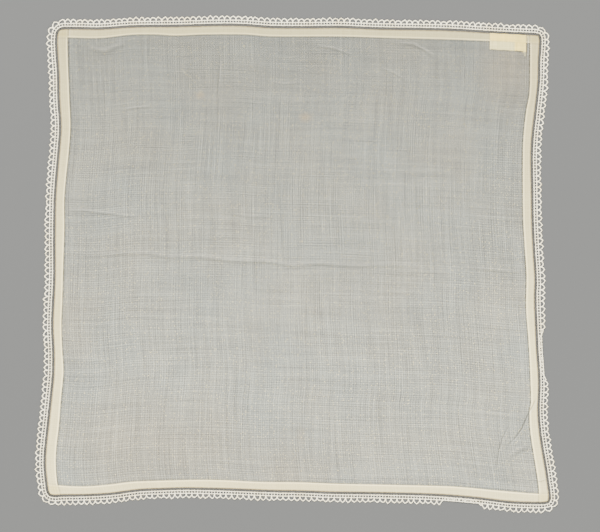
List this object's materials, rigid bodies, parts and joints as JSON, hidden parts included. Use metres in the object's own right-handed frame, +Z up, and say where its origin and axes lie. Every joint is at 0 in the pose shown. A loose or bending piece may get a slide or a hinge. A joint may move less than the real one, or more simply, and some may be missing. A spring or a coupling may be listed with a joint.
{
  "type": "handkerchief",
  "caption": "Square sheer lawn handkerchief lying flat, with a narrow turned hem, a scalloped crochet edging and a blank sewn tape near one corner.",
  "frame": {"origin": "middle of the bounding box in X and Y, on the surface that the handkerchief lies on", "axes": "+X along the top side toward the sewn tape, +Y from the bottom side to the top side, +Z up from the surface"},
  "size_m": [0.3406, 0.323, 0.0033],
  "materials": {
    "white_lawn": "sheer plain-weave white lawn, matt, with a denser cream hem",
    "crochet_cotton": "fine off-white crochet cotton, slightly lustrous",
    "woven_tape": "thin cream woven tape, matt"
  },
  "bodies": {
    "root": {"cloth": "white_lawn", "lace_edging": "crochet_cotton", "label": "woven_tape"}
  },
  "joints": []
}
